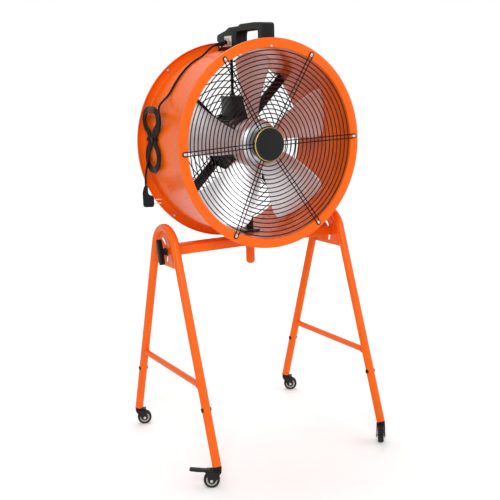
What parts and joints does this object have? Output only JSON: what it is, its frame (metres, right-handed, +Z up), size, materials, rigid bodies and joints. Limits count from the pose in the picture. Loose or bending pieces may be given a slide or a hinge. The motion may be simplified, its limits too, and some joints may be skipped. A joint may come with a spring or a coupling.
{
  "type": "drum fan",
  "caption": "Orange industrial drum fan on a wheeled A-frame stand, with a swivelling and tilting head, wire guards, a carrying handle and its mains cord hung in a hank on the side.",
  "frame": {"origin": "on the floor, under the middle of the machine's overall box measured without the cord", "axes": "+Z up, -Y the way the fan blows, +X along the crossbar towards the side without the lock knob"},
  "size_m": [0.7492, 0.6929, 1.396],
  "materials": {
    "orange_paint": "glossy orange powder coat",
    "black_plastic": "satin moulded plastic",
    "black_steel": "satin black coated wire and strip",
    "bright_steel": "bright zinc plate",
    "blade_aluminium": "bright sheet aluminium",
    "motor_casting": "dark painted casting",
    "dark_steel": "dark painted strip",
    "black_rubber": "matt rubber",
    "cord_rubber": "smooth flexible sheath",
    "white_plastic": "moulded plastic"
  },
  "bodies": {
    "stand": {"left_frame_tube": "orange_paint", "left_brace": "orange_paint", "left_slot_plate": "orange_paint", "left_front_leg_plug": "black_plastic", "left_rear_leg_plug": "black_plastic", "left_pivot_bolt": "bright_steel", "right_frame_tube": "orange_paint", "right_brace": "orange_paint", "right_slot_plate": "orange_paint", "right_front_leg_plug": "black_plastic", "right_rear_leg_plug": "black_plastic", "right_pivot_bolt": "bright_steel", "front_left_caster_socket": "black_plastic", "front_right_caster_socket": "black_plastic", "rear_left_caster_socket": "black_plastic", "rear_right_caster_socket": "black_plastic"},
    "crossbar": {"crossbar": "orange_paint"},
    "head": {"swivel_post": "orange_paint", "drum_shell": "orange_paint", "front_flange": "orange_paint", "rear_flange": "orange_paint", "front_guard": "black_steel", "rear_guard": "black_steel", "guard_badge": "black_plastic", "motor_body": "motor_casting", "terminal_box": "motor_casting", "motor_spider": "black_steel", "motor_column": "dark_steel", "motor_lead": "cord_rubber", "carry_handle": "black_plastic", "switch_frame": "black_plastic", "gland_plate": "bright_steel", "strain_relief": "cord_rubber", "cord_run": "cord_rubber", "cord_hank": "cord_rubber", "cord_tie": "black_plastic", "mains_plug": "black_plastic"},
    "fan": {"fan_hub": "blade_aluminium", "motor_shaft": "bright_steel", "fan_blade_1": "blade_aluminium", "fan_blade_2": "blade_aluminium", "fan_blade_3": "blade_aluminium", "fan_blade_4": "blade_aluminium", "fan_blade_5": "blade_aluminium"},
    "lock_knob": {"tilt_lock_knob": "black_plastic"},
    "rocker": {"power_rocker": "black_plastic"},
    "front_left_swivel": {"front_left_caster_fork": "black_plastic"},
    "front_left_wheel": {"front_left_wheel_rim": "white_plastic", "front_left_wheel_tyre": "black_rubber"},
    "front_left_pedal": {"front_left_brake_pedal": "black_plastic"},
    "front_right_swivel": {"front_right_caster_fork": "black_plastic"},
    "front_right_wheel": {"front_right_wheel_rim": "white_plastic", "front_right_wheel_tyre": "black_rubber"},
    "front_right_pedal": {"front_right_brake_pedal": "black_plastic"},
    "rear_left_swivel": {"rear_left_caster_fork": "black_plastic"},
    "rear_left_wheel": {"rear_left_wheel_rim": "white_plastic", "rear_left_wheel_tyre": "black_rubber"},
    "rear_right_swivel": {"rear_right_caster_fork": "black_plastic"},
    "rear_right_wheel": {"rear_right_wheel_rim": "white_plastic", "rear_right_wheel_tyre": "black_rubber"}
  },
  "joints": [
    {"name": "head_tilt", "type": "hinge", "parent": "stand", "child": "crossbar", "pos_m": [0.02, 0.067, 0.676], "axis": [-1, 0, 0], "range_deg": [-25, 45]},
    {"name": "head_pan", "type": "hinge", "parent": "crossbar", "child": "head", "pos_m": [0.02, 0.03, 0.689], "axis": [0, 0, 1], "range_deg": [-40, 40]},
    {"name": "fan_spin", "type": "hinge", "parent": "head", "child": "fan", "pos_m": [0.02, -0.038, 1.016], "axis": [0, -1, 0], "continuous": true},
    {"name": "lock_knob_turn", "type": "hinge", "parent": "crossbar", "child": "lock_knob", "pos_m": [-0.315, 0.01243, 0.6886], "axis": [-1, 0, 0], "range_deg": [0, 180]},
    {"name": "rocker_tilt", "type": "hinge", "parent": "head", "child": "rocker", "pos_m": [0.02, 0.146, 1.376], "axis": [1, 0, 0], "range_deg": [0, 16]},
    {"name": "front_left_swivel", "type": "hinge", "parent": "stand", "child": "front_left_swivel", "pos_m": [-0.296, -0.278, 0.057], "axis": [0, 0, 1], "continuous": true},
    {"name": "front_left_wheel_roll", "type": "hinge", "parent": "front_left_swivel", "child": "front_left_wheel", "pos_m": [-0.31072, -0.2695, 0.025], "axis": [-0.5, -0.866, 0], "continuous": true},
    {"name": "front_left_brake_press", "type": "hinge", "parent": "front_left_swivel", "child": "front_left_pedal", "pos_m": [-0.31678, -0.266, 0.055], "axis": [-0.5, -0.866, 0], "range_deg": [0, 16]},
    {"name": "front_right_swivel", "type": "hinge", "parent": "stand", "child": "front_right_swivel", "pos_m": [0.336, -0.278, 0.057], "axis": [0, 0, 1], "continuous": true},
    {"name": "front_right_wheel_roll", "type": "hinge", "parent": "front_right_swivel", "child": "front_right_wheel", "pos_m": [0.32553, -0.2914, 0.025], "axis": [0.788, -0.6157, 0], "continuous": true},
    {"name": "front_right_brake_press", "type": "hinge", "parent": "front_right_swivel", "child": "front_right_pedal", "pos_m": [0.32122, -0.29691, 0.055], "axis": [0.788, -0.6157, 0], "range_deg": [0, 16]},
    {"name": "rear_left_swivel", "type": "hinge", "parent": "stand", "child": "rear_left_swivel", "pos_m": [-0.296, 0.322, 0.057], "axis": [0, 0, 1], "continuous": true},
    {"name": "rear_left_wheel_roll", "type": "hinge", "parent": "rear_left_swivel", "child": "rear_left_wheel", "pos_m": [-0.28003, 0.31619, 0.025], "axis": [0.342, 0.9397, 0], "continuous": true},
    {"name": "rear_right_swivel", "type": "hinge", "parent": "stand", "child": "rear_right_swivel", "pos_m": [0.336, 0.322, 0.057], "axis": [0, 0, 1], "continuous": true},
    {"name": "rear_right_wheel_roll", "type": "hinge", "parent": "rear_right_swivel", "child": "rear_right_wheel", "pos_m": [0.35042, 0.31299, 0.025], "axis": [0.5299, 0.848, 0], "continuous": true}
  ]
}
